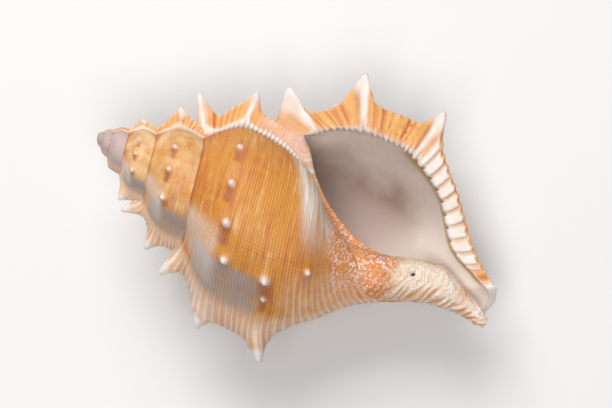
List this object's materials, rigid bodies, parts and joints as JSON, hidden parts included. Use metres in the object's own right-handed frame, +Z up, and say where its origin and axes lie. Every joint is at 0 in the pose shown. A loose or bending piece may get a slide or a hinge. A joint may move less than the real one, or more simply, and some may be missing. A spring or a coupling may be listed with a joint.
{
  "type": "frog shell",
  "caption": "Empty spiny sea-snail shell lying on its back with the mouth up: a pointed spire, ribbed spiny lips at each half turn and an open canal at the foot.",
  "frame": {"origin": "on the resting plane, under the middle of the shell's bounding box", "axes": "+X along the shell from the tip of the spire to the canal, +Y towards the outer lip's side, +Z up, out of the mouth"},
  "size_m": [0.0698, 0.0496, 0.0311],
  "materials": {
    "frog_shell": "satin"
  },
  "bodies": {
    "root": {"frog_shell": "frog_shell"}
  },
  "joints": []
}
